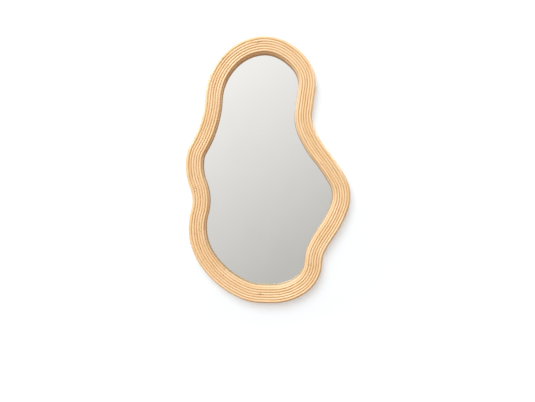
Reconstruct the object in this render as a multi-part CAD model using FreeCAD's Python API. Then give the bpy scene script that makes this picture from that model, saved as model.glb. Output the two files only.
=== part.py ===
import FreeCAD, Part
import math
import os

# Wall mirror of irregular outline. Its frame is a plywood ring clad in round rods.
# Millimetres, +Z up, +X to the right as seen by the viewer, who looks along +Y.
# Y = 0 is the wall. X = 0, Z = 0 is midway between the pivots of the two wall hangers.

Vector = FreeCAD.Vector

# ---- outline ----
midline_width = 486.0
midline_height = 822.0
# The middle line of the frame's face, anticlockwise as seen by the viewer. Each point has its x and z
# from the middle of the outline, as shares of the width and the height, and its heading in degrees.
# Two tangent arcs join it to the next.
midline_points = [
    (0.097, 0.483, 153.0),
    (-0.247, 0.444, 224.0),
    (-0.453, 0.107, 242.0),
    (-0.494, 0.052, 260.0),
    (-0.465, -0.172, 254.0),
    (-0.160, -0.485, 337.0),
    (0.039, -0.500, 1.0),
    (0.309, -0.371, 88.0),
    (0.401, -0.248, 55.0),
    (0.473, -0.043, 119.0),
    (0.263, 0.150, 114.0),
    (0.265, 0.328, 82.0),
]
hanger_height = 255.0  # of the hanger pivots above the middle of the outline
slightest_bend = 1e-7  # 1/mm, what stands for a straight run

# ---- cladding rods ----
rod_diameter = 8.0
rod_gap = 0.1  # between rods that lie side by side
seat_gap = 0.05  # glue line between a rod and the plywood
rod_joint_gap = 0.4  # between the two ends of one rod
face_rod_count = 6
inner_edge_rods = ["front", "rear"]
inner_edge_lengths = ["left", "lower", "upper"]  # each inner rod is laid in shorter lengths
outer_edge_rods = ["front", "middle", "rear"]

# ---- boards and pane, from the wall forward ----
pad_thickness = 5.0
back_panel_thickness = 3.0
tape_thickness = 1.0
glass_thickness = 4.0
glass_overlap = 8.0  # width of the pane's rim behind the front ring
glass_side_clearance = 1.0  # between the pane's edge and the spacer ring

# ---- tape pads and wall pads ----
tape_length = 60.0
tape_width = 20.0
tape_inset = 50.0  # from the frame's middle line to the tape's middle line
tape_count = 8
pad_diameter = 18.0
pad_chamfer = 1.0
pad_places = [0, 1, 5, 7]  # which of the gaps between panel screws hold a pad

# ---- brads ----
brad_diameter = 1.2
brad_head_diameter = 1.8
brad_head_thickness = 0.5
brad_length = 15.0
brad_stand = 0.1  # height of the head's top over the rod
brad_end_distance = 9.0  # from the end of a rod to its first brad
brad_spacing = 180.0  # at most

# ---- screws ----
screw_diameter = 3.5
screw_length = 16.0
screw_tip_length = 3.0
screw_hole_gap = 0.05  # round the shank and under the head
screw_head_diameter = 7.0
countersunk_head_height = 2.0
pan_head_height = 1.6
head_sink = 0.1  # depth of a countersunk head under the panel's face
recess_width = 0.9
recess_length = 3.6
recess_depth = 1.1
panel_screw_count = 12

# ---- wall hangers ----
strap_thickness = 1.0
strap_width = 12.0
strap_length = 15.0  # from the pivot to the strap's lower end
strap_screw_drop = 9.0  # from the pivot down to the screw
ring_wire_diameter = 2.5
ring_pivot_gap = 0.1  # round the wire in the strap's loop
ring_half_width = 12.5  # to the middle of the wire
ring_drop = 28.0  # from the pivot to the middle of the wire at the ring's lowest point
ring_corner_radius = 4.0

# ---- sizes that follow ----
rod_radius = rod_diameter / 2
rod_pitch = rod_diameter + rod_gap
board_half_width = (face_rod_count - 1) / 2 * rod_pitch
glass_offset = -(board_half_width - glass_overlap)
spacer_inner_offset = glass_offset + glass_side_clearance
screw_line_offset = (board_half_width + spacer_inner_offset) / 2
edge_rod_offset = board_half_width + seat_gap + rod_radius

panel_back = -pad_thickness
panel_front = panel_back - back_panel_thickness
glass_back = panel_front - tape_thickness
glass_front = glass_back - glass_thickness
board_back = glass_front
board_front = board_back - len(inner_edge_rods) * rod_pitch
face_rod_y = board_front - seat_gap - rod_radius
edge_rod_step_in = edge_rod_offset - board_half_width
first_edge_rod_y = face_rod_y + math.sqrt(rod_pitch ** 2 - edge_rod_step_in ** 2)

strap_loop_radius = ring_wire_diameter / 2 + ring_pivot_gap + strap_thickness
pivot_y = panel_back + strap_loop_radius


# ---- arcs of the outline ----
# An arc is (centre x, centre z, radius, heading, turn). The radius is negative where the line
# bends to the right, and the turn is in radians.
def arc_towards(start, heading, end):
    """The arc that leaves start along heading and ends at end."""
    across = end[0] - start[0]
    up = end[1] - start[1]
    ahead = across * math.cos(heading) + up * math.sin(heading)
    left = up * math.cos(heading) - across * math.sin(heading)
    bend = 2 * left / (across ** 2 + up ** 2)
    if abs(bend) < slightest_bend:
        bend = slightest_bend
    radius = 1 / bend
    centre_x = start[0] - radius * math.sin(heading)
    centre_z = start[1] + radius * math.cos(heading)
    return (centre_x, centre_z, radius, heading, 2 * math.atan2(left, ahead))


def two_arcs(start, end):
    """The two tangent arcs from one point of the middle line to the next."""
    first_heading = math.radians(start[2])
    last_heading = math.radians(end[2])
    across = end[0] - start[0]
    up = end[1] - start[1]
    sum_x = math.cos(first_heading) + math.cos(last_heading)
    sum_z = math.sin(first_heading) + math.sin(last_heading)
    along = across * sum_x + up * sum_z
    spread = 2 - 2 * math.cos(last_heading - first_heading)
    reach = (across ** 2 + up ** 2) / (along + math.sqrt(along ** 2 + spread * (across ** 2 + up ** 2)))
    middle_x = (start[0] + end[0] + reach * (math.cos(first_heading) - math.cos(last_heading))) / 2
    middle_z = (start[1] + end[1] + reach * (math.sin(first_heading) - math.sin(last_heading))) / 2
    first = arc_towards(start, first_heading, (middle_x, middle_z))
    second = arc_towards((middle_x, middle_z), first_heading + first[4], end)
    return [first, second]


def closed_line(across, up):
    """All the arcs of the middle line, with the middle of the outline moved to (across, up)."""
    points = []
    for width_share, height_share, heading in midline_points:
        x = width_share * midline_width + across
        z = height_share * midline_height + up
        points.append((x, z, heading))
    arcs = []
    for start, end in zip(points, points[1:] + points[:1]):
        arcs += two_arcs(start, end)
    return arcs


def on_arc(arc, offset, share, y):
    """A point at a share of an arc, moved outward by offset, at depth y."""
    centre_x, centre_z, radius, heading, turn = arc
    there = heading + share * turn
    x = centre_x + (radius + offset) * math.sin(there)
    z = centre_z - (radius + offset) * math.cos(there)
    return Vector(x, y, z)


def crossings(arcs, offset, height):
    """Where the offset line crosses a height, from left to right."""
    found = []
    for centre_x, centre_z, radius, heading, turn in arcs:
        cosine = (centre_z - height) / (radius + offset)
        if abs(cosine) > 1:
            continue
        for angle in (math.acos(cosine), -math.acos(cosine)):
            past = (angle - heading) * math.copysign(1, turn) % (2 * math.pi)
            if past < abs(turn):
                found.append(centre_x + (radius + offset) * math.sin(angle))
    return sorted(found)


def length_of(arcs):
    """The length of a row of arcs."""
    return sum(radius * turn for _, _, radius, _, turn in arcs)


def stretch(arcs, start, end):
    """The arcs of the middle line between two distances along it."""
    found = []
    reached = 0.0
    for centre_x, centre_z, radius, heading, turn in arcs + arcs:
        length = radius * turn
        first = max(start - reached, 0.0) / length
        last = min(end - reached, length) / length
        if last > first:
            found.append((centre_x, centre_z, radius, heading + turn * first, turn * (last - first)))
        reached += length
    return found


def spot(arcs, distance, offset, y):
    """The place and the outward direction at a distance along the middle line."""
    reached = 0.0
    for arc in arcs:
        length = arc[2] * arc[4]
        if distance <= reached + length:
            break
        reached += length
    share = (distance - reached) / length
    heading = arc[3] + share * arc[4]
    outward = Vector(math.sin(heading), 0, -math.cos(heading))
    return on_arc(arc, offset, share, y), outward


# The hangers sit where the line of the panel screws crosses their height, left and right.
hanger_spots = crossings(closed_line(0, 0), screw_line_offset, hanger_height)
hanger_middle = (hanger_spots[0] + hanger_spots[-1]) / 2
hanger_x = (hanger_spots[-1] - hanger_spots[0]) / 2
midline = closed_line(-hanger_middle, -hanger_height)
midline_length = length_of(midline)
panel_screw_spacing = midline_length / panel_screw_count


def wire_along(arcs, offset, y):
    """A row of arcs as one wire, moved outward by offset, at depth y."""
    edges = []
    for arc in arcs:
        ends = [on_arc(arc, offset, share, y) for share in (0, 0.5, 1)]
        edges.append(Part.Arc(*ends).toShape())
    return Part.Wire(edges)


# ---- boards and pane ----
def plate(offset, back, front):
    """A flat sheet inside the offset outline, from its back to its front."""
    return Part.Face(wire_along(midline, offset, back)).extrude(Vector(0, front - back, 0))


def ring(outer_offset, inner_offset, back, front):
    """A flat ring between two offset outlines."""
    return plate(outer_offset, back, front).cut(plate(inner_offset, back, front))


# ---- rods ----
def rod(start, end, offset, y):
    """A rod between two joints, which are distances along the middle line."""
    end_gap = rod_joint_gap / 2
    path = stretch(midline, start + end_gap, end - end_gap)
    heading = path[0][3]
    along = Vector(math.cos(heading), 0, math.sin(heading))
    section = Part.Wire([Part.makeCircle(rod_radius, on_arc(path[0], offset, 0, y), along)])
    return wire_along(path, offset, y).makePipeShell([section], True, False)


def brad_distances(start, end):
    """Distances along the middle line of the brads of a rod between two joints."""
    first = start + brad_end_distance
    run = end - brad_end_distance - first
    spaces = math.ceil(run / brad_spacing)
    return [(first + run * number / spaces) % midline_length for number in range(spaces + 1)]


def brad(head_top, inward):
    """A brad whose head's top is at a point and whose shank runs inward."""
    head = Part.makeCylinder(brad_head_diameter / 2, brad_head_thickness, head_top, inward)
    shank = Part.makeCylinder(brad_diameter / 2, brad_length, head_top, inward)
    return head.fuse(shank).removeSplitter()


def face_brads_of(start, end, offset):
    """The brads of a face rod, driven straight back into the ring."""
    head_y = face_rod_y - rod_radius - brad_stand
    places = [spot(midline, distance, offset, head_y)[0] for distance in brad_distances(start, end)]
    return [brad(place, Vector(0, 1, 0)) for place in places]


def edge_brads_of(start, end, side, y):
    """The brads of an edge rod, driven square into the ring's edge from outside or inside."""
    head_offset = side * (edge_rod_offset + rod_radius + brad_stand)
    brads = []
    for distance in brad_distances(start, end):
        place, outward = spot(midline, distance, head_offset, y)
        brads.append(brad(place, outward * -side))
    return brads


# ---- screws ----
def cross_recess(face_point, inward):
    """The cross in a screw head that looks along Y."""
    bars = []
    for wide, high in ((recess_length, recess_width), (recess_width, recess_length)):
        corner = face_point - Vector(wide / 2, 0, high / 2)
        if inward.y < 0:
            corner.y -= recess_depth
        bars.append(Part.makeBox(wide, recess_depth, high, corner))
    return bars[0].fuse(bars[1])


def screw_shank(start, length, inward, extra):
    """A shank with a pointed tip."""
    radius = screw_diameter / 2 + extra
    straight = Part.makeCylinder(radius, length - screw_tip_length, start, inward)
    tip_start = start + inward * (length - screw_tip_length)
    tip = Part.makeCone(radius, extra, screw_tip_length, tip_start, inward)
    return straight.fuse(tip).removeSplitter()


def countersunk_screw(face_point, inward, extra):
    """A countersunk screw, or the hole for one when extra is the gap round it."""
    head_radius = screw_head_diameter / 2 + extra
    shank_radius = screw_diameter / 2 + extra
    head = Part.makeCone(head_radius, shank_radius, countersunk_head_height, face_point, inward)
    return head.fuse(screw_shank(face_point, screw_length, inward, extra)).removeSplitter()


def panel_screw_places():
    """Points on the panel's back where its screws sit."""
    distances = [(number + 0.5) * panel_screw_spacing for number in range(panel_screw_count)]
    return [spot(midline, distance, screw_line_offset, panel_back)[0] for distance in distances]


def panel_screws(inward):
    """The screws that hold the back panel and the spacer ring to the front ring."""
    screws = []
    for place in panel_screw_places():
        head_point = place + inward * head_sink
        screw = countersunk_screw(head_point, inward, 0)
        screws.append(screw.cut(cross_recess(head_point, inward)))
    return screws


def panel_screw_holes(inward):
    """What the panel screws' holes take out of the boards."""
    holes = []
    for place in panel_screw_places():
        mouth = Part.makeCylinder(screw_head_diameter / 2 + screw_hole_gap, head_sink, place, inward)
        hole = countersunk_screw(place + inward * head_sink, inward, screw_hole_gap)
        holes.append(mouth.fuse(hole))
    return holes


def hanger_screw(x):
    """The pan-head screw through a hanger's strap."""
    inward = Vector(0, -1, 0)
    seat = Vector(x, panel_back + 2 * strap_thickness, -strap_screw_drop)
    top = seat - inward * pan_head_height
    head = Part.makeCylinder(screw_head_diameter / 2, pan_head_height, top, inward)
    rim = [edge for edge in head.Edges if edge.BoundBox.YMin > seat.y + pan_head_height / 2]
    head = head.makeFillet(pan_head_height / 2, rim)
    screw = head.fuse(screw_shank(seat, screw_length, inward, 0)).removeSplitter()
    return screw.cut(cross_recess(top, inward))


def hanger_screw_hole(x):
    """What a hanger's screw takes out of the boards and its strap."""
    seat = Vector(x, panel_back + 2 * strap_thickness, -strap_screw_drop)
    return screw_shank(seat, screw_length, Vector(0, -1, 0), screw_hole_gap)


# ---- wall hangers ----
def hanger_strap(x):
    """A steel strap folded double round the ring's straight bar."""
    left = x - strap_width / 2
    sideways = Vector(1, 0, 0)
    pivot = Vector(left, pivot_y, 0)
    loop = Part.makeCylinder(strap_loop_radius, strap_width, pivot, sideways)
    leaves = Part.makeBox(
        strap_width, 2 * strap_thickness, strap_length, Vector(left, panel_back, -strap_length)
    )
    bore = Part.makeCylinder(ring_wire_diameter / 2 + ring_pivot_gap, strap_width, pivot, sideways)
    strap = loop.fuse(leaves).removeSplitter().cut(bore)
    lower_corners = [
        edge for edge in strap.Edges
        if abs(edge.CenterOfMass.z + strap_length) < strap_thickness / 4
        and edge.BoundBox.YLength > strap_thickness
    ]
    strap = strap.makeFillet(strap_width / 4, lower_corners)
    return strap.cut(hanger_screw_hole(x))


def hanger_ring(x):
    """A wire ring: a straight bar in the strap's loop, two corners, two legs and a round end."""
    end_radius = ring_half_width
    leg_end = -(ring_drop - end_radius)
    corner = ring_corner_radius
    slant = corner * (1 - math.sqrt(0.5))

    def at(across, up):
        return Vector(x + across, pivot_y, up)

    bar_half = ring_half_width - corner
    path = [
        Part.LineSegment(at(0, 0), at(bar_half, 0)),
        Part.Arc(at(bar_half, 0), at(ring_half_width - slant, -slant), at(ring_half_width, -corner)),
        Part.LineSegment(at(ring_half_width, -corner), at(ring_half_width, leg_end)),
        Part.Arc(at(ring_half_width, leg_end), at(0, -ring_drop), at(-ring_half_width, leg_end)),
        Part.LineSegment(at(-ring_half_width, leg_end), at(-ring_half_width, -corner)),
        Part.Arc(at(-ring_half_width, -corner), at(slant - ring_half_width, -slant), at(-bar_half, 0)),
        Part.LineSegment(at(-bar_half, 0), at(0, 0)),
    ]
    wire = Part.Wire([curve.toShape() for curve in path])
    section = Part.Wire([Part.makeCircle(ring_wire_diameter / 2, at(0, 0), Vector(1, 0, 0))])
    return wire.makePipeShell([section], True, False)


# ---- pads ----
def tape_pad(distance):
    """A strip of foam tape behind the pane, in line with the frame beside it."""
    place, outward = spot(midline, distance, -tape_inset, panel_front)
    strip = Part.makeBox(
        tape_width, tape_thickness, tape_length, Vector(-tape_width / 2, -tape_thickness, -tape_length / 2)
    )
    strip.rotate(Vector(0, 0, 0), Vector(0, -1, 0), math.degrees(math.atan2(outward.z, outward.x)))
    strip.translate(place)
    return strip


def wall_pad(distance):
    """A round rubber pad glued to the back panel."""
    place = spot(midline, distance, screw_line_offset, panel_back)[0]
    pad = Part.makeCylinder(pad_diameter / 2, pad_thickness, place, Vector(0, 1, 0))
    rim = [edge for edge in pad.Edges if edge.BoundBox.YMin > -pad_chamfer]
    return pad.makeChamfer(pad_chamfer, rim)


def save(name, solids):
    """Writes one named piece, or one group of like pieces."""
    shape = solids[0] if len(solids) == 1 else Part.makeCompound(solids)
    print(name, "solids", len(shape.Solids), "volume", round(shape.Volume, 1), "valid", shape.isValid())
    shape.exportStep("parts/" + name + ".step")


os.makedirs("parts", exist_ok=True)
into_board = Vector(0, -1, 0)
hanger_places = {"left": -hanger_x, "right": hanger_x}
holes = panel_screw_holes(into_board) + [hanger_screw_hole(x) for x in hanger_places.values()]

save("mirror_glass", [plate(glass_offset, glass_back, glass_front)])
tape_places = [number / tape_count * midline_length for number in range(tape_count)]
save("mirror_tape_pads", [tape_pad(place) for place in tape_places])
front_ring = ring(board_half_width, -board_half_width, board_back, board_front)
save("frame_front_ring", [front_ring.cut(holes)])
spacer = ring(board_half_width, spacer_inner_offset, panel_front, board_back)
save("spacer_ring", [spacer.cut(holes)])
save("back_panel", [plate(board_half_width, panel_back, panel_front).cut(holes)])
save("back_panel_screws", panel_screws(into_board))

# Each joint is at its own share of the middle line, so that no two joints meet.
face_joints = [0.095, 0.30, 0.037, 0.518, 0.62, 0.80]
inner_edge_joints = [[0.12, 0.446, 0.78], [0.125, 0.455, 0.80]]
outer_edge_joints = [0.385, 0.875, 0.555]

face_brads = []
for number, joint_share in enumerate(face_joints):
    offset = board_half_width - number * rod_pitch
    start = joint_share * midline_length
    end = start + midline_length
    save("face_rod_" + str(number + 1), [rod(start, end, offset, face_rod_y)])
    if 0 < number < face_rod_count - 1:
        face_brads += face_brads_of(start, end, offset)
save("face_rod_brads", face_brads)

inner_brads = []
for number, name in enumerate(inner_edge_rods):
    y = first_edge_rod_y + number * rod_pitch
    starts = [joint_share * midline_length for joint_share in inner_edge_joints[number]]
    ends = starts[1:] + [starts[0] + midline_length]
    for start, end, place in zip(starts, ends, inner_edge_lengths):
        save("inner_edge_rod_" + name + "_" + place, [rod(start, end, -edge_rod_offset, y)])
        inner_brads += edge_brads_of(start, end, -1, y)
save("inner_edge_brads", inner_brads)

outer_brads = []
for number, name in enumerate(outer_edge_rods):
    y = first_edge_rod_y + number * rod_pitch
    start = outer_edge_joints[number] * midline_length
    end = start + midline_length
    save("outer_edge_rod_" + name, [rod(start, end, edge_rod_offset, y)])
    outer_brads += edge_brads_of(start, end, 1, y)
save("outer_edge_brads", outer_brads)

for side, x in hanger_places.items():
    save("hanger_strap_" + side, [hanger_strap(x)])
    save("hanger_ring_" + side, [hanger_ring(x)])
    save("hanger_screw_" + side, [hanger_screw(x)])
save("wall_pads", [wall_pad(place * panel_screw_spacing) for place in pad_places])

print("middle line", round(midline_length, 2), "hanger x", round(hanger_x, 3))
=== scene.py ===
import math
import random
import bpy
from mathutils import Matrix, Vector


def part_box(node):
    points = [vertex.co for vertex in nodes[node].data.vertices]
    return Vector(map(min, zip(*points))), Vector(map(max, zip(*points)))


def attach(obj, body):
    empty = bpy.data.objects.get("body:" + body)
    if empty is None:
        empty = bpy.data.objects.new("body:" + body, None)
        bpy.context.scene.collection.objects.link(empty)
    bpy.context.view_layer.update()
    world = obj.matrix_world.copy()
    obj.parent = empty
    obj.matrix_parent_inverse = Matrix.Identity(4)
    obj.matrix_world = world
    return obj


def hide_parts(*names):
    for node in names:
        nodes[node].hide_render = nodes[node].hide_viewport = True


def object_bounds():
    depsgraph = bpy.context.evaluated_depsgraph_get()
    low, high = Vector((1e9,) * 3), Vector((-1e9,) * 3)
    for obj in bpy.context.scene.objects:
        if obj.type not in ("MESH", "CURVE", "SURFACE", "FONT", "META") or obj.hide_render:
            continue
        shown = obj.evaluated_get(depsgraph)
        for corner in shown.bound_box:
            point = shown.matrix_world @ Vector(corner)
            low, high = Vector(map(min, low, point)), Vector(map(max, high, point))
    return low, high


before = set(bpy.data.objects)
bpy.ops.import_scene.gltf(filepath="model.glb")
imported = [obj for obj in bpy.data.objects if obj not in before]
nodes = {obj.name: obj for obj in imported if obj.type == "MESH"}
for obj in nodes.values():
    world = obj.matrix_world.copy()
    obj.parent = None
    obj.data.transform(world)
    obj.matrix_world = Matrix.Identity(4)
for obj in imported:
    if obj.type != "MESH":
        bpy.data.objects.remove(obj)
cad_low, cad_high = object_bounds()


# ---- Plywood rings ----
# The front ring is one 16 mm plywood cut-out, and the spacer ring behind it is as deep as the pane and
# its tape. Their sawn edges show the plies. The rods are pinned all round them, so they hardly show.
def colour(red, green, blue):
    """A colour from its screen values, 0 to 255."""
    shares = [value / 255 for value in (red, green, blue)]
    linear = [((share + 0.055) / 1.055) ** 2.4 if share > 0.04045 else share / 12.92 for share in shares]
    return (*linear, 1.0)


def new_material(name):
    """A node material, its node tree and its surface shader."""
    material = bpy.data.materials.new(name)
    material.use_nodes = True
    return material, material.node_tree, material.node_tree.nodes["Principled BSDF"]


def add(tree, kind, sockets=None, **settings):
    """Adds a node. Each socket takes a plain value, or a link from another node's output."""
    node = tree.nodes.new("ShaderNode" + kind)
    for name, value in settings.items():
        setattr(node, name, value)
    for name, value in (sockets or {}).items():
        if isinstance(value, bpy.types.NodeSocket):
            tree.links.new(value, node.inputs[name])
        else:
            node.inputs[name].default_value = value
    return node


def maths(tree, operation, first, second=0.0, third=0.0):
    """The result of one sum."""
    return add(tree, "Math", {0: first, 1: second, 2: third}, operation=operation).outputs[0]


def spread(tree, value, low, high, to_low=0.0, to_high=1.0):
    """A value moved from one range to another, and held inside it."""
    sockets = {"Value": value, "From Min": low, "From Max": high, "To Min": to_low, "To Max": to_high}
    return add(tree, "MapRange", sockets).outputs["Result"]


def blend(tree, factor, first, second):
    """A colour between two others."""
    node = add(tree, "Mix", data_type="RGBA")
    for socket, value in zip((node.inputs[0], node.inputs[6], node.inputs[7]), (factor, first, second)):
        if isinstance(value, bpy.types.NodeSocket):
            tree.links.new(value, socket)
        else:
            socket.default_value = value
    return node.outputs[2]


def noise(tree, vector, scale, detail=2.0, roughness=0.5):
    """A soft pattern from 0 to 1."""
    sockets = {"Vector": vector, "Scale": scale, "Detail": detail, "Roughness": roughness}
    return add(tree, "TexNoise", sockets).outputs["Fac"]


def stretched(tree, vector, scales):
    """Coordinates with their own scale along each axis."""
    return add(tree, "VectorMath", {0: vector, 1: scales}, operation="MULTIPLY").outputs[0]


def object_place(tree):
    """Where a point of the piece is, in metres."""
    return add(tree, "TexCoord").outputs["Object"]


def rough_and_bumpy(tree, shader, roughness, height, depth):
    """Feeds the shader's roughness, and its normal from a height of up to depth metres."""
    tree.links.new(roughness, shader.inputs["Roughness"])
    bump = add(tree, "Bump", {"Height": height, "Distance": depth, "Strength": 1.0})
    tree.links.new(bump.outputs["Normal"], shader.inputs["Normal"])


def new_group(name, inputs, outputs):
    """A node group with named number, colour or vector sockets: its tree, input node and output node."""
    kinds = {"number": "NodeSocketFloat", "colour": "NodeSocketColor", "vector": "NodeSocketVector"}
    group = bpy.data.node_groups.new(name, "ShaderNodeTree")
    for label, kind in inputs.items():
        group.interface.new_socket(label, in_out="INPUT", socket_type=kinds[kind])
    for label, kind in outputs.items():
        group.interface.new_socket(label, in_out="OUTPUT", socket_type=kinds[kind])
    return group, group.nodes.new("NodeGroupInput"), group.nodes.new("NodeGroupOutput")


# Dust that settles on what faces up: it pales the colour and dulls the shine.
dust_colour = colour(214, 208, 198)
dust_dulling = 0.4  # roughness that a full cover of dust adds
dust, dust_in, dust_out = new_group(
    "settled_dust",
    {"Colour": "colour", "Roughness": "number", "Amount": "number"},
    {"Colour": "colour", "Roughness": "number"},
)
dust_up = add(dust, "SeparateXYZ", {0: add(dust, "NewGeometry").outputs["Normal"]}).outputs["Z"]
dust_patches = noise(dust, object_place(dust), scale=160.0, detail=4.0, roughness=0.7)
dust_cover = maths(dust, "MULTIPLY", spread(dust, dust_up, 0.1, 1.0), spread(dust, dust_patches, 0.35, 0.75))
dust_cover = maths(dust, "MULTIPLY", dust_cover, dust_in.outputs["Amount"])
dusty = blend(dust, dust_cover, dust_in.outputs["Colour"], dust_colour)
dust.links.new(dusty, dust_out.inputs["Colour"])
dull = maths(dust, "MULTIPLY_ADD", dust_cover, dust_dulling, dust_in.outputs["Roughness"])
dust.links.new(dull, dust_out.inputs["Roughness"])


def with_dust(tree, shader, paint, roughness, amount):
    """Feeds a colour to the shader through the dust. Returns the roughness that goes with it."""
    group = add(tree, "Group", node_tree=dust)
    tree.links.new(paint, group.inputs["Colour"])
    tree.links.new(roughness, group.inputs["Roughness"])
    group.inputs["Amount"].default_value = amount
    tree.links.new(group.outputs["Colour"], shader.inputs["Base Color"])
    return group.outputs["Roughness"]


ply_thickness = 0.0013
glue_reach = 0.06  # of a glue line to each side, as a share of a ply
light_veneer, dark_veneer = colour(222, 190, 148), colour(196, 158, 112)
dark_edge, light_edge = colour(178, 138, 94), colour(212, 176, 132)
glue_colour = colour(112, 74, 44)
plywood, tree, shader = new_material("plywood")
place = object_place(tree)
depth = add(tree, "SeparateXYZ", {0: place}).outputs["Y"]
plies_deep = maths(tree, "DIVIDE", depth, ply_thickness)
ply = maths(tree, "FLOOR", plies_deep)
ply_tone = add(tree, "TexWhiteNoise", {"W": ply}, noise_dimensions="1D").outputs["Value"]
odd_ply = maths(tree, "PINGPONG", ply, 1.0)
glue_line = maths(tree, "PINGPONG", plies_deep, 0.5)
veneer = noise(tree, stretched(tree, place, (420.0, 60.0, 14.0)), scale=1.0, detail=4.0, roughness=0.6)
end_grain = noise(tree, place, scale=1900.0, detail=3.0, roughness=0.6)
wood = blend(tree, spread(tree, veneer, 0.3, 0.7), light_veneer, dark_veneer)
layer = blend(tree, end_grain, dark_edge, light_edge)
edge_tone = maths(tree, "MULTIPLY", odd_ply, maths(tree, "MULTIPLY_ADD", ply_tone, 0.4, 0.5))
wood = blend(tree, edge_tone, wood, layer)
wood = blend(tree, spread(tree, glue_line, glue_reach, 0.0), wood, glue_colour)
plywood_roughness = with_dust(tree, shader, wood, spread(tree, veneer, 0.3, 0.7, 0.62, 0.8), amount=0.3)
rough_and_bumpy(tree, shader, plywood_roughness, end_grain, depth=0.00012)


def finish_nodes(material, *names):
    """Gives CAD nodes their finish."""
    for name in names:
        mesh = nodes[name].data
        mesh.materials.clear()
        mesh.materials.append(material)


finish_nodes(plywood, "frame_front_ring", "spacer_ring")


# ---- Mirror pane ----
# 4 mm float glass, silvered and painted behind, cut to the outline with a ground edge. It lies behind
# the front ring, which holds it in from the front, inside the spacer ring.
pane_tint, pane_haze = colour(247, 248, 247), colour(244, 246, 245)
ground_dark, ground_light = colour(120, 160, 146), colour(170, 196, 186)
paint_dark, paint_light = colour(104, 108, 112), colour(128, 130, 132)
silver, tree, shader = new_material("silvered_glass")
shader.inputs["Metallic"].default_value = 1.0
facing = add(tree, "SeparateXYZ", {0: add(tree, "NewGeometry").outputs["Normal"]}).outputs["Y"]
place = object_place(tree)
haze = noise(tree, place, scale=9.0, detail=5.0, roughness=0.62)
in_front = spread(tree, facing, -0.5, -0.9)
behind = spread(tree, facing, 0.5, 0.9)
ground = noise(tree, place, scale=2600.0, detail=2.0, roughness=0.6)
face = blend(tree, spread(tree, haze, 0.35, 0.7), pane_tint, pane_haze)
ground_edge = blend(tree, ground, ground_dark, ground_light)
back_paint = blend(tree, haze, paint_dark, paint_light)
skin = blend(tree, behind, ground_edge, back_paint)
tree.links.new(blend(tree, in_front, skin, face), shader.inputs["Base Color"])
polish = spread(tree, haze, 0.35, 0.75, 0.001, 0.0035)
matt = maths(tree, "MULTIPLY", maths(tree, "SUBTRACT", 1.0, in_front), 0.55)
tree.links.new(maths(tree, "ADD", polish, matt), shader.inputs["Roughness"])
finish_nodes(silver, "mirror_glass")


# ---- Foam tape pads ----
# Eight strips of white double-sided foam tape, 1 mm thick, that hold the pane to the back panel.
# Their closed cells show as a fine matt texture.
foam_shade, foam_white = colour(206, 204, 198), colour(236, 235, 230)
foam, tree, shader = new_material("foam_tape")
cells = add(tree, "TexVoronoi", {"Vector": object_place(tree), "Scale": 2400.0}).outputs["Distance"]
foam_tone = blend(tree, spread(tree, cells, 0.1, 0.6), foam_shade, foam_white)
tree.links.new(foam_tone, shader.inputs["Base Color"])
rough_and_bumpy(tree, shader, spread(tree, cells, 0.0, 0.6, 0.9, 0.7), cells, depth=0.00015)
finish_nodes(foam, "mirror_tape_pads")


# ---- Back panel and its screws ----
# 3 mm hardboard closes the back. Twelve countersunk screws, zinc plated with a cross recess, go
# through it and the spacer ring into the front ring.
board_light, board_dark = colour(168, 128, 88), colour(150, 110, 72)
pulp_brown, fleck_straw = colour(128, 92, 58), colour(206, 172, 126)
hardboard, tree, shader = new_material("hardboard")
place = object_place(tree)
clouds = noise(tree, place, scale=26.0, detail=5.0, roughness=0.6)
pulp = noise(tree, stretched(tree, place, (1.0, 1.0, 0.55)), scale=1300.0, detail=4.0, roughness=0.7)
flecks = noise(tree, stretched(tree, place, (1.0, 1.0, 0.3)), scale=700.0, detail=1.0, roughness=0.4)
board = blend(tree, spread(tree, clouds, 0.3, 0.7), board_light, board_dark)
board = blend(tree, spread(tree, pulp, 0.35, 0.7), board, pulp_brown)
board = blend(tree, spread(tree, flecks, 0.66, 0.74), board, fleck_straw)
board_roughness = with_dust(tree, shader, board, spread(tree, pulp, 0.3, 0.7, 0.5, 0.68), amount=0.3)
rough_and_bumpy(tree, shader, board_roughness, pulp, depth=0.00006)
finish_nodes(hardboard, "back_panel")

# What turns plain metal into used metal: small dull clouds and fine rubbing marks.
mark_roughness = 0.22  # that a rubbing mark adds
cloud_roughness = 0.12  # that a dull cloud adds
used_metal, metal_in, metal_out = new_group(
    "used_metal",
    {"Bright": "colour", "Dull": "colour", "Shine": "number", "Mark Scale": "number"},
    {"Colour": "colour", "Roughness": "number", "Height": "number"},
)
metal_place = object_place(used_metal)
cloudy = noise(used_metal, metal_place, scale=330.0, detail=3.0, roughness=0.6)
mark_place = stretched(used_metal, metal_place, (1.0, 1.0, 0.12))
marks = noise(used_metal, mark_place, metal_in.outputs["Mark Scale"], detail=3.0, roughness=0.7)
dull_share = spread(used_metal, cloudy, 0.4, 0.7)
metal_tone = blend(used_metal, dull_share, metal_in.outputs["Bright"], metal_in.outputs["Dull"])
used_metal.links.new(metal_tone, metal_out.inputs["Colour"])
marked_shine = maths(used_metal, "MULTIPLY_ADD", marks, mark_roughness, metal_in.outputs["Shine"])
clouded_shine = maths(used_metal, "MULTIPLY_ADD", dull_share, cloud_roughness, marked_shine)
used_metal.links.new(clouded_shine, metal_out.inputs["Roughness"])
used_metal.links.new(marks, metal_out.inputs["Height"])


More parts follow.
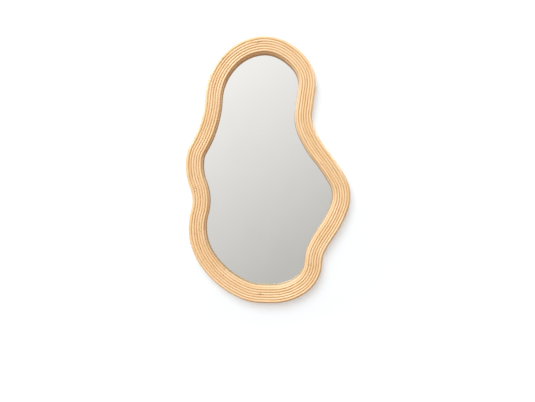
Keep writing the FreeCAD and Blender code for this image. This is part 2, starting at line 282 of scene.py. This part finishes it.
def metal(name, bright, dull_tone, shine, mark_scale):
    """A plated metal with its own colours, shine and size of rubbing marks."""
    material, tree, shader = new_material(name)
    shader.inputs["Metallic"].default_value = 1.0
    sockets = {"Bright": bright, "Dull": dull_tone, "Shine": shine, "Mark Scale": mark_scale}
    group = add(tree, "Group", node_tree=used_metal)
    for label, value in sockets.items():
        group.inputs[label].default_value = value
    tree.links.new(group.outputs["Colour"], shader.inputs["Base Color"])
    rough_and_bumpy(tree, shader, group.outputs["Roughness"], group.outputs["Height"], depth=0.00002)
    return material


zinc = metal("zinc_plate", colour(214, 212, 200), colour(176, 172, 156), shine=0.24, mark_scale=1400.0)
finish_nodes(zinc, "back_panel_screws")


# ---- Face rods ----
# Six lengths of 8 mm natural rattan core, bent cold and laid side by side on the front ring, each once
# round. The ends of a rod meet in a butt joint. Their fibres run lengthwise, under a satin lacquer.

# The line they follow has the same points as in the solids: shares of its width and height, and the
# heading in degrees, anticlockwise as seen by the viewer. Two tangent arcs join each point to the next.
midline_width = 0.486
midline_height = 0.822
midline_points = [
    (0.097, 0.483, 153.0),
    (-0.247, 0.444, 224.0),
    (-0.453, 0.107, 242.0),
    (-0.494, 0.052, 260.0),
    (-0.465, -0.172, 254.0),
    (-0.160, -0.485, 337.0),
    (0.039, -0.500, 1.0),
    (0.309, -0.371, 88.0),
    (0.401, -0.248, 55.0),
    (0.473, -0.043, 119.0),
    (0.263, 0.150, 114.0),
    (0.265, 0.328, 82.0),
]
rod_radius = 0.004
rod_pitch = 0.0081
rod_count = 6
rod_joint_gap = 0.0004
ring_step = 0.004  # between the rings of a rod's mesh
rod_sides = 20
spots_per_metre = 1000  # at which the line is sampled to find its box


def two_arcs(start, end):
    """Two tangent arcs between two points: (centre x, centre z, radius, heading, turn) for each."""
    first, last = math.radians(start[2]), math.radians(end[2])
    across, up = end[0] - start[0], end[1] - start[1]
    chord = across ** 2 + up ** 2
    along = across * (math.cos(first) + math.cos(last)) + up * (math.sin(first) + math.sin(last))
    reach = chord / (along + math.sqrt(along ** 2 + (2 - 2 * math.cos(last - first)) * chord))
    middle_x = (start[0] + end[0] + reach * (math.cos(first) - math.cos(last))) / 2
    middle_z = (start[1] + end[1] + reach * (math.sin(first) - math.sin(last))) / 2
    arcs = []
    heading = first
    for here, there in ((start, (middle_x, middle_z)), ((middle_x, middle_z), end)):
        across, up = there[0] - here[0], there[1] - here[1]
        ahead = across * math.cos(heading) + up * math.sin(heading)
        left = up * math.cos(heading) - across * math.sin(heading)
        radius = (across ** 2 + up ** 2) / (2 * left)
        turn = 2 * math.atan2(left, ahead)
        centre = (here[0] - radius * math.sin(heading), here[1] + radius * math.cos(heading))
        arcs.append((*centre, radius, heading, turn))
        heading += turn
    return arcs


scaled = [(x * midline_width, z * midline_height, heading) for x, z, heading in midline_points]
midline = []
for start, end in zip(scaled, scaled[1:] + scaled[:1]):
    midline += two_arcs(start, end)
midline_length = sum(radius * turn for _, _, radius, _, turn in midline)


def beside(distance, offset):
    """The point at a distance along the middle line, moved outward by offset, and the way outward."""
    left = distance % midline_length
    for centre_x, centre_z, radius, heading, turn in midline:
        if left <= radius * turn:
            break
        left -= radius * turn
    there = heading + left / radius
    outward = Vector((math.sin(there), 0.0, -math.cos(there)))
    return Vector((centre_x, 0.0, centre_z)) + outward * (radius + offset), outward


# The line is placed on the front ring, whose box has the same middle.
spot_count = int(midline_length * spots_per_metre)
line_spots = [beside(number / spots_per_metre, 0.0)[0] for number in range(spot_count)]
ring_low, ring_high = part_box("frame_front_ring")
line_place = Vector((
    (ring_low.x + ring_high.x - min(p.x for p in line_spots) - max(p.x for p in line_spots)) / 2,
    0.0,
    (ring_low.z + ring_high.z - min(p.z for p in line_spots) - max(p.z for p in line_spots)) / 2,
))

# How a rod strays from a true one: its radius and its line wander by up to these amounts, in three
# waves of about these lengths.
radius_stray = 0.00016
line_stray = 0.00018
stray_waves = (0.31, 0.13, 0.055)
end_rounding = 0.0005  # how far from its end a rod is rounded
end_radius_share = 0.86  # of the radius that is left at the very end
thinned_length = 0.016  # of an end that stands off the rod outside it
thinning_curve = 1.5  # the power with which it grows towards the end
# Shade is painted in a band round each rod on both sides of where it touches the next one.
painted_shade_reach = 30.0  # degrees round a rod, from the line where it touches the next one
rod_draws = random.Random(11)


def wander(draws, size):
    """A smooth amount, at most size either way, as a function of the distance along a rod."""
    waves = [(draws.uniform(0.8, 1.2) * wave, draws.uniform(0.0, math.tau)) for wave in stray_waves]

    def amount(distance):
        swings = [math.sin(math.tau * distance / wave + phase) for wave, phase in waves]
        return size * sum(swings) / len(waves)

    return amount


def nearness(side, contacts):
    """How near a side of a rod is to where it touches another one, from 0 to 1, which sets the shade painted
    there.
    """
    away = [abs((side * 360 / rod_sides - contact + 180) % 360 - 180) for contact in contacts]
    return max(1 - min(away) / painted_shade_reach, 0.0)


def rattan_rod(name, number, start, end, offset, y, contacts, thinning=0.0):
    """A rod between two distances along the middle line.

    The contacts are the sides, in degrees from outward through forward, where it touches another rod and
    where shade is painted.
    The thinning is what its ends lose on their outer side.
    """
    swelling = wander(rod_draws, radius_stray)
    sideways = wander(rod_draws, line_stray)
    forward = wander(rod_draws, line_stray)
    first, last = start + rod_joint_gap / 2, end - rod_joint_gap / 2
    count = math.ceil((last - first) / ring_step)
    spots = [first, first + end_rounding / 2]
    spots += [first + (last - first) * k / count for k in range(1, count)]
    spots += [last - end_rounding / 2, last]
    vertices, faces, around = [], [], []
    for spot in spots:
        from_end = min(spot - first, last - spot)
        rounded = min(from_end / end_rounding, 1.0)
        roundness = end_radius_share + (1 - end_radius_share) * math.sqrt(rounded * (2 - rounded))
        lost = thinning * max(1.0 - from_end / thinned_length, 0.0) ** thinning_curve
        radius = (rod_radius + swelling(spot)) * roundness - lost / 2
        centre, outward = beside(spot, offset + sideways(spot) - lost / 2)
        centre = centre + line_place
        for side in range(rod_sides):
            angle = math.tau * side / rod_sides
            out = outward * (radius * math.cos(angle))
            vertices.append(centre + out + Vector((0.0, y + forward(spot) - radius * math.sin(angle), 0.0)))
    for ring in range(len(spots) - 1):
        for side in range(rod_sides):
            here, there = ring * rod_sides + side, ring * rod_sides + (side + 1) % rod_sides
            faces.append((here, there, there + rod_sides, here + rod_sides))
            near, far = spots[ring], spots[ring + 1]
            turn, next_turn = number + side / rod_sides, number + (side + 1) / rod_sides
            around += [(near, turn), (near, next_turn), (far, next_turn), (far, turn)]
    for ring, order in ((0, -1), (len(spots) - 1, 1)):
        rim = list(range(ring * rod_sides, (ring + 1) * rod_sides))[::order]
        faces.append(rim)
        around += [(spots[ring], number + (k % rod_sides) / rod_sides) for k in rim]
    mesh = bpy.data.meshes.new(name)
    mesh.from_pydata(vertices, [], faces)
    lengthwise = mesh.uv_layers.new(name="lengthwise")
    for corner, spot_on_map in zip(lengthwise.data, around):
        corner.uv = spot_on_map
    for face in mesh.polygons:
        face.use_smooth = len(face.vertices) == 4
    # Painted shade: each side's share of the shade painted where rods touch.
    snug = [nearness(side, contacts) for side in range(rod_sides)]
    painted_shade_attribute = mesh.attributes.new("crevice", "FLOAT", "POINT")
    painted_shade_attribute.data.foreach_set("value", snug * len(spots))
    mesh.materials.append(rattan)
    rod = bpy.data.objects.new(name, mesh)
    bpy.context.scene.collection.objects.link(rod)
    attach(rod, "mirror")
    return rod


# Rattan fibres as seen along a rod, from its map of metres along and whole turns around. Each rod
# starts at another place in the pattern.
rod_shift = 7.31  # metres between the patterns of two rods
seam_slack = 0.0001  # turns, so that rounding at a rod's seam doesn't count as the rod before
fibre, fibre_in, fibre_out = new_group(
    "rattan_fibre",
    {"Map": "vector"},
    {"Streaks": "number", "Pores": "number", "Patches": "number", "Rod": "number"},
)
parts = add(fibre, "SeparateXYZ", {0: fibre_in.outputs["Map"]})
along, turns = parts.outputs["X"], parts.outputs["Y"]
rod_number = maths(fibre, "FLOOR", maths(fibre, "ADD", turns, seam_slack))
angle = maths(fibre, "MULTIPLY", turns, math.tau)
round_x, round_y = maths(fibre, "COSINE", angle), maths(fibre, "SINE", angle)
shifted = maths(fibre, "MULTIPLY_ADD", rod_number, rod_shift, along)


def fibre_noise(per_metre, round_cells, detail, roughness):
    """A pattern drawn out along the rod, without a seam round it."""
    sockets = {
        "X": maths(fibre, "MULTIPLY", shifted, per_metre),
        "Y": maths(fibre, "MULTIPLY", round_x, round_cells),
        "Z": maths(fibre, "MULTIPLY", round_y, round_cells),
    }
    return noise(fibre, add(fibre, "CombineXYZ", sockets).outputs[0], 1.0, detail, roughness)


streak_noise = fibre_noise(per_metre=16.0, round_cells=8.0, detail=4.0, roughness=0.65)
pore_noise = fibre_noise(per_metre=150.0, round_cells=17.0, detail=1.0, roughness=0.5)
patch_noise = fibre_noise(per_metre=9.0, round_cells=0.5, detail=2.0, roughness=0.55)
rod_tone = add(fibre, "TexWhiteNoise", {"W": rod_number}, noise_dimensions="1D").outputs["Value"]
fibre.links.new(streak_noise, fibre_out.inputs["Streaks"])
fibre.links.new(pore_noise, fibre_out.inputs["Pores"])
fibre.links.new(patch_noise, fibre_out.inputs["Patches"])
fibre.links.new(rod_tone, fibre_out.inputs["Rod"])

# The cane's colour: pale and golden patches, a tone for each rod, brown and cream streaks along the
# fibres, painted shade where rods touch, uneven along the fibres, and fine dark pores.
straw, pale_straw = colour(230, 197, 146), colour(242, 218, 179)
golden_patch = colour(236, 190, 133)
aged_rod = colour(234, 202, 157)
brown_streak, cream_streak = colour(209, 160, 104), colour(246, 231, 202)
# The colour of the shade painted where rods touch.
painted_crevice_shade = colour(206, 143, 80)
pore_brown = colour(150, 96, 52)
rattan, tree, shader = new_material("rattan_core")
lengthwise_map = add(tree, "UVMap", uv_map="lengthwise").outputs["UV"]
grain = add(tree, "Group", node_tree=fibre)
tree.links.new(lengthwise_map, grain.inputs["Map"])
patches, streaks = grain.outputs["Patches"], grain.outputs["Streaks"]
cane = blend(tree, spread(tree, patches, 0.38, 0.62), straw, pale_straw)
cane = blend(tree, maths(tree, "MULTIPLY", spread(tree, patches, 0.60, 0.72), 0.5), cane, golden_patch)
cane = blend(tree, maths(tree, "MULTIPLY", grain.outputs["Rod"], 0.22), cane, aged_rod)
cane = blend(tree, maths(tree, "MULTIPLY", spread(tree, streaks, 0.48, 0.72), 0.5), cane, brown_streak)
cane = blend(tree, maths(tree, "MULTIPLY", spread(tree, streaks, 0.45, 0.25), 0.45), cane, cream_streak)
crevice = add(tree, "Attribute", attribute_name="crevice").outputs["Fac"]
# Painted shade in the creases where rods touch, uneven along the fibres.
painted_shade_share = maths(tree, "MULTIPLY", crevice, spread(tree, streaks, 0.36, 0.62, 0.35, 1.0))
cane = blend(tree, painted_shade_share, cane, painted_crevice_shade)
pores = spread(tree, grain.outputs["Pores"], 0.68, 0.76)
cane = blend(tree, maths(tree, "MULTIPLY", pores, 0.45), cane, pore_brown)
rattan_roughness = with_dust(tree, shader, cane, spread(tree, streaks, 0.3, 0.75, 0.42, 0.6), amount=0.06)
raised_fibre = maths(tree, "MULTIPLY", streaks, 0.8)
sunken_pore = maths(tree, "MULTIPLY", pores, 0.6)
fibre_height = maths(tree, "SUBTRACT", raised_fibre, sunken_pore)
rough_and_bumpy(tree, shader, rattan_roughness, fibre_height, depth=0.00012)
shader.inputs["Coat Weight"].default_value = 0.45
shader.inputs["Coat Roughness"].default_value = 0.3

# Where each rod's joint is, as a share of the line, from the outermost rod to the innermost. The
# ends of the third and fourth rods are thinner on their outer side, which leaves a dark slit there.
face_joints = [0.095, 0.30, 0.037, 0.518, 0.62, 0.80]
face_thinning = [0.0, 0.0, 0.0011, 0.0011, 0.0, 0.0]
board_half_width = (rod_count - 1) / 2 * rod_pitch
rod_low, rod_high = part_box("face_rod_1")
face_rod_y = (rod_low.y + rod_high.y) / 2
for number, (share, thinning) in enumerate(zip(face_joints, face_thinning)):
    joint = share * midline_length
    offset = board_half_width - number * rod_pitch
    node = "face_rod_" + str(number + 1)
    run = (joint, joint + midline_length, offset, face_rod_y)
    rod = rattan_rod("rattan_" + node, number, *run, (0.0, 180.0), thinning)
    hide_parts(node)


# ---- Inner edge rods ----
# Two more rows line the inner side of the ring in front of the pane, each laid in three shorter
# lengths. They are pinned from inside, and the lengths butt together.
seat_gap = 0.00005  # glue line between a rod and the plywood
edge_rod_offset = board_half_width + seat_gap + rod_radius
inner_joints = {"front": [0.12, 0.446, 0.78], "rear": [0.125, 0.455, 0.80]}
inner_contacts = {"front": (80.0, 270.0), "rear": (90.0,)}
rod_number_now = rod_count
for row, shares in inner_joints.items():
    starts = [share * midline_length for share in shares]
    ends = starts[1:] + [starts[0] + midline_length]
    for start, end, length_name in zip(starts, ends, ("left", "lower", "upper")):
        node = "inner_edge_rod_" + row + "_" + length_name
        rod_low, rod_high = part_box(node)
        run = (start, end, -edge_rod_offset, (rod_low.y + rod_high.y) / 2)
        rod = rattan_rod("rattan_" + node, rod_number_now, *run, inner_contacts[row])
        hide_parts(node)
        rod_number_now += 1


# ---- Outer edge rods ----
# Three rows cover the outer side of the ring and the spacer, from the face back to the panel, each
# in one length with its joint at another place.
outer_joints = {"front": 0.385, "middle": 0.875, "rear": 0.555}
outer_contacts = {"front": (120.0, 270.0), "middle": (90.0, 270.0), "rear": (90.0,)}
for row, share in outer_joints.items():
    node = "outer_edge_rod_" + row
    rod_low, rod_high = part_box(node)
    joint = share * midline_length
    run = (joint, joint + midline_length, edge_rod_offset, (rod_low.y + rod_high.y) / 2)
    rod = rattan_rod("rattan_" + node, rod_number_now, *run, outer_contacts[row])
    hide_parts(node)
    rod_number_now += 1


# ---- Brads ----
# Thin bronzed brads with small heads pin every rod to the ring, in a colour close to the cane's. A
# head is level with the cane, a little over it or under it where the rod strays.
bronzed = metal("bronzed_steel", colour(196, 154, 104), colour(158, 118, 76), shine=0.42, mark_scale=2200.0)
finish_nodes(bronzed, "face_rod_brads", "inner_edge_brads", "outer_edge_brads")


# ---- Wall hangers ----
# Two nickel plated ring hangers. A steel strap is folded double round the ring's straight bar, and a
# pan-head screw holds it to the back. The wire ring turns in the strap.
nickel = metal("nickel_plate", colour(214, 214, 212), colour(178, 178, 176), shine=0.16, mark_scale=900.0)
finish_nodes(nickel, "hanger_strap_left", "hanger_strap_right", "hanger_ring_left", "hanger_ring_right")
finish_nodes(zinc, "hanger_screw_left", "hanger_screw_right")


# ---- Wall pads ----
# Four round bumpers of black rubber, glued to the panel, that keep the back off the wall.
# They are moulded, with a faint grey bloom and some dust on top.
rubber_black, rubber_bloom = colour(34, 34, 35), colour(58, 57, 56)
rubber, tree, shader = new_material("pad_rubber")
place = object_place(tree)
moulded = noise(tree, place, scale=900.0, detail=4.0, roughness=0.7)
blooms = noise(tree, place, scale=120.0, detail=3.0, roughness=0.6)
black = blend(tree, spread(tree, blooms, 0.35, 0.75), rubber_black, rubber_bloom)
pad_roughness = with_dust(tree, shader, black, spread(tree, moulded, 0.3, 0.7, 0.6, 0.85), amount=0.5)
rough_and_bumpy(tree, shader, pad_roughness, moulded, depth=0.00008)
finish_nodes(rubber, "wall_pads")


# ---- Wall and floor of the studio ----
# The mirror hangs on a white wall, over a pale floor. Seen from behind, the wall isn't there, and it
# stops no lamp, so that the back of the mirror can be lit and seen. Neither shows in the pane.
object_middle = (cad_low + cad_high) / 2
wall_half_width = 4.0
wall_gap = 0.0005  # behind the wall pads
wall_y = cad_high.y + wall_gap
floor_z = object_middle.z - 1.5
ceiling_z = object_middle.z + 3.0
floor_reach = 3.4
shadow_reach = 0.52  # of the object's shadow, from its middle
lift_fade = 0.3  # beyond the shadow, over which the lift grows
white_lift = (0.28, 0.8)  # near the object and far from it
paper_white = (1.0, 1.0, 1.0, 1.0)
cool_white = (0.615, 0.70, 0.765, 1.0)  # makes up for the warm light of the cane and the floor
warm_floor_light = (0.34, 0.16, 0.055, 1.0)  # lights the cane's inner side as its own bounce does


def stage_sheet(name, corners, material):
    """A flat sheet that isn't part of the object."""
    mesh = bpy.data.meshes.new(name)
    mesh.from_pydata(corners, [], [(0, 1, 2, 3)])
    mesh.materials.append(material)
    sheet = bpy.data.objects.new(name, mesh)
    bpy.context.scene.collection.objects.link(sheet)


def studio_white(name, thrown_back, clear_behind):
    """White paint that the camera sees lifted towards paper white, with its shadows kept.

    The lift is larger away from the object, where no shadow falls. Thrown back is the colour that
    light takes from the paint on its way to the object. Clear behind makes the paint see-through
    from behind, and lets lamps through it.
    """
    material = bpy.data.materials.new(name)
    material.use_nodes = True
    tree = material.node_tree
    tree.nodes.clear()
    paths = add(tree, "LightPath")
    seen = paths.outputs["Is Camera Ray"]
    white = blend(tree, seen, thrown_back, cool_white)
    apart = add(tree, "VectorMath", {0: object_place(tree), 1: tuple(object_middle)}, operation="DISTANCE")
    raised = spread(tree, apart.outputs["Value"], shadow_reach, shadow_reach + lift_fade, *white_lift)
    paint = add(tree, "BsdfDiffuse", {"Color": white}).outputs[0]
    glow_strength = maths(tree, "MULTIPLY", seen, raised)
    glow = add(tree, "Emission", {"Color": paper_white, "Strength": glow_strength}).outputs[0]
    surface = add(tree, "AddShader", {0: paint, 1: glow}).outputs[0]
    clear = paths.outputs["Is Glossy Ray"]
    if clear_behind:
        behind = add(tree, "NewGeometry").outputs["Backfacing"]
        clear = maths(tree, "MAXIMUM", clear, maths(tree, "MAXIMUM", behind, paths.outputs["Is Shadow Ray"]))
    nothing = add(tree, "BsdfTransparent").outputs[0]
    surface = add(tree, "MixShader", {0: clear, 1: surface, 2: nothing}).outputs[0]
    add(tree, "OutputMaterial", {"Surface": surface})
    return material


stage_sheet("wall", [
    (-wall_half_width, wall_y, floor_z),
    (wall_half_width, wall_y, floor_z),
    (wall_half_width, wall_y, ceiling_z),
    (-wall_half_width, wall_y, ceiling_z),
], studio_white("wall_white", cool_white, clear_behind=True))
stage_sheet("floor", [
    (-wall_half_width, -floor_reach, floor_z),
    (wall_half_width, -floor_reach, floor_z),
    (wall_half_width, floor_reach, floor_z),
    (-wall_half_width, floor_reach, floor_z),
], studio_white("floor_white", warm_floor_light, clear_behind=False))


# ---- Lamps ----
# A large soft lamp from the upper left in front, as in the photograph, and two weak ones behind that
# only the back sees.
key_direction = Vector((-0.43, -1.0, 0.78)).normalized()
key_distance = 8.0
key_size = 4.9
key_power = 438.0
rear_aside, rear_behind, rear_above = 1.5, 2.0, 1.0
rear_size = 1.0
rear_power = 42.0


def soft_lamp(name, place, aim, size, power):
    """A square soft box that shines from a place to another and isn't seen itself."""
    lamp = bpy.data.lights.new(name, "AREA")
    lamp.shape = "SQUARE"
    lamp.size = size
    lamp.energy = power
    holder = bpy.data.objects.new(name, lamp)
    holder.location = place
    holder.rotation_euler = (aim - place).to_track_quat("-Z", "Y").to_euler()
    holder.visible_camera = False
    bpy.context.scene.collection.objects.link(holder)
    return holder


key = soft_lamp("key", object_middle + key_direction * key_distance, object_middle, key_size, key_power)
for side in (-rear_aside, rear_aside):
    rear_place = object_middle + Vector((side, rear_behind, rear_above))
    soft_lamp("rear", rear_place, object_middle, rear_size, rear_power)

# The key lamp itself stays out of the pane, which shows the even room around it.
not_in_pane = bpy.data.collections.new("kept_out_of_the_key_light")
not_in_pane.objects.link(nodes["mirror_glass"])
not_in_pane.collection_objects[0].light_linking.link_state = "EXCLUDE"
key.light_linking.receiver_collection = not_in_pane

# The room, as light. Matt surfaces get more of it from the front and the upper left, and a dim warm
# light from the other side. The pane shows a soft fall from a bright upper left to a grey lower right,
# and lacquer and plain metal show a wider one. The camera sees white.
fall_direction = (-0.44, 0.0, 0.65)
fill_direction = (-0.44, -0.5, 0.65)
pane_grey, pane_bright = colour(196, 194, 190), colour(249, 246, 244)
fill_dim, fill_bright = (0.36, 0.15, 0.03, 1.0), (0.95, 0.95, 0.95, 1.0)
sheen_dim, sheen_bright = (0.13, 0.09, 0.06, 1.0), (0.9, 0.9, 0.9, 1.0)
world = bpy.data.worlds.new("studio")
bpy.context.scene.world = world
world.use_nodes = True
tree = world.node_tree
background = tree.nodes["Background"]
paths = add(tree, "LightPath")
direction = add(tree, "TexCoord").outputs["Generated"]
fall = add(tree, "VectorMath", {0: direction, 1: fall_direction}, operation="DOT_PRODUCT").outputs["Value"]
fill = add(tree, "VectorMath", {0: direction, 1: fill_direction}, operation="DOT_PRODUCT").outputs["Value"]
reflected = blend(tree, spread(tree, fall, -0.17, 0.17), pane_grey, pane_bright)
room = blend(tree, spread(tree, fill, -0.6, 0.6), fill_dim, fill_bright)
sheen_room = blend(tree, spread(tree, fall, -0.5, 0.5), sheen_dim, sheen_bright)
mirrored = maths(tree, "SUBTRACT", paths.outputs["Is Singular Ray"], paths.outputs["Diffuse Depth"])
sheen = maths(tree, "SUBTRACT", paths.outputs["Is Glossy Ray"], paths.outputs["Diffuse Depth"])
seen = blend(tree, spread(tree, sheen, 0.0, 1.0), room, sheen_room)
seen = blend(tree, spread(tree, mirrored, 0.0, 1.0), seen, reflected)
seen = blend(tree, paths.outputs["Is Camera Ray"], seen, paper_white)
tree.links.new(seen, background.inputs["Color"])


# ---- Camera ----
# It stands level with the middle of the mirror, as the even view of the frame's inner side shows, and
# its frame is shifted so that the mirror hangs above the picture's middle.
photo_width, photo_height = 535, 402
mirror_middle_px = (268.1, 169.6)  # of the mirror in the photograph
metres_per_px = 0.003267  # at the front of the frame
camera_distance = 1.42
sensor_width = 36.0
nearest_seen = 0.05
lens_data = bpy.data.cameras.new("camera")
lens_data.sensor_width = sensor_width
lens_data.lens = sensor_width * camera_distance / (photo_width * metres_per_px)
lens_data.shift_y = (mirror_middle_px[1] - photo_height / 2) / photo_width
lens_data.clip_start = nearest_seen
camera = bpy.data.objects.new("camera", lens_data)
aside = (mirror_middle_px[0] - photo_width / 2) * metres_per_px
camera.location = (object_middle.x - aside, cad_low.y - camera_distance, object_middle.z)
camera.rotation_euler = (math.pi / 2, 0.0, 0.0)
bpy.context.scene.collection.objects.link(camera)
bpy.context.scene.camera = camera
bpy.context.scene.view_settings.view_transform = "Standard"
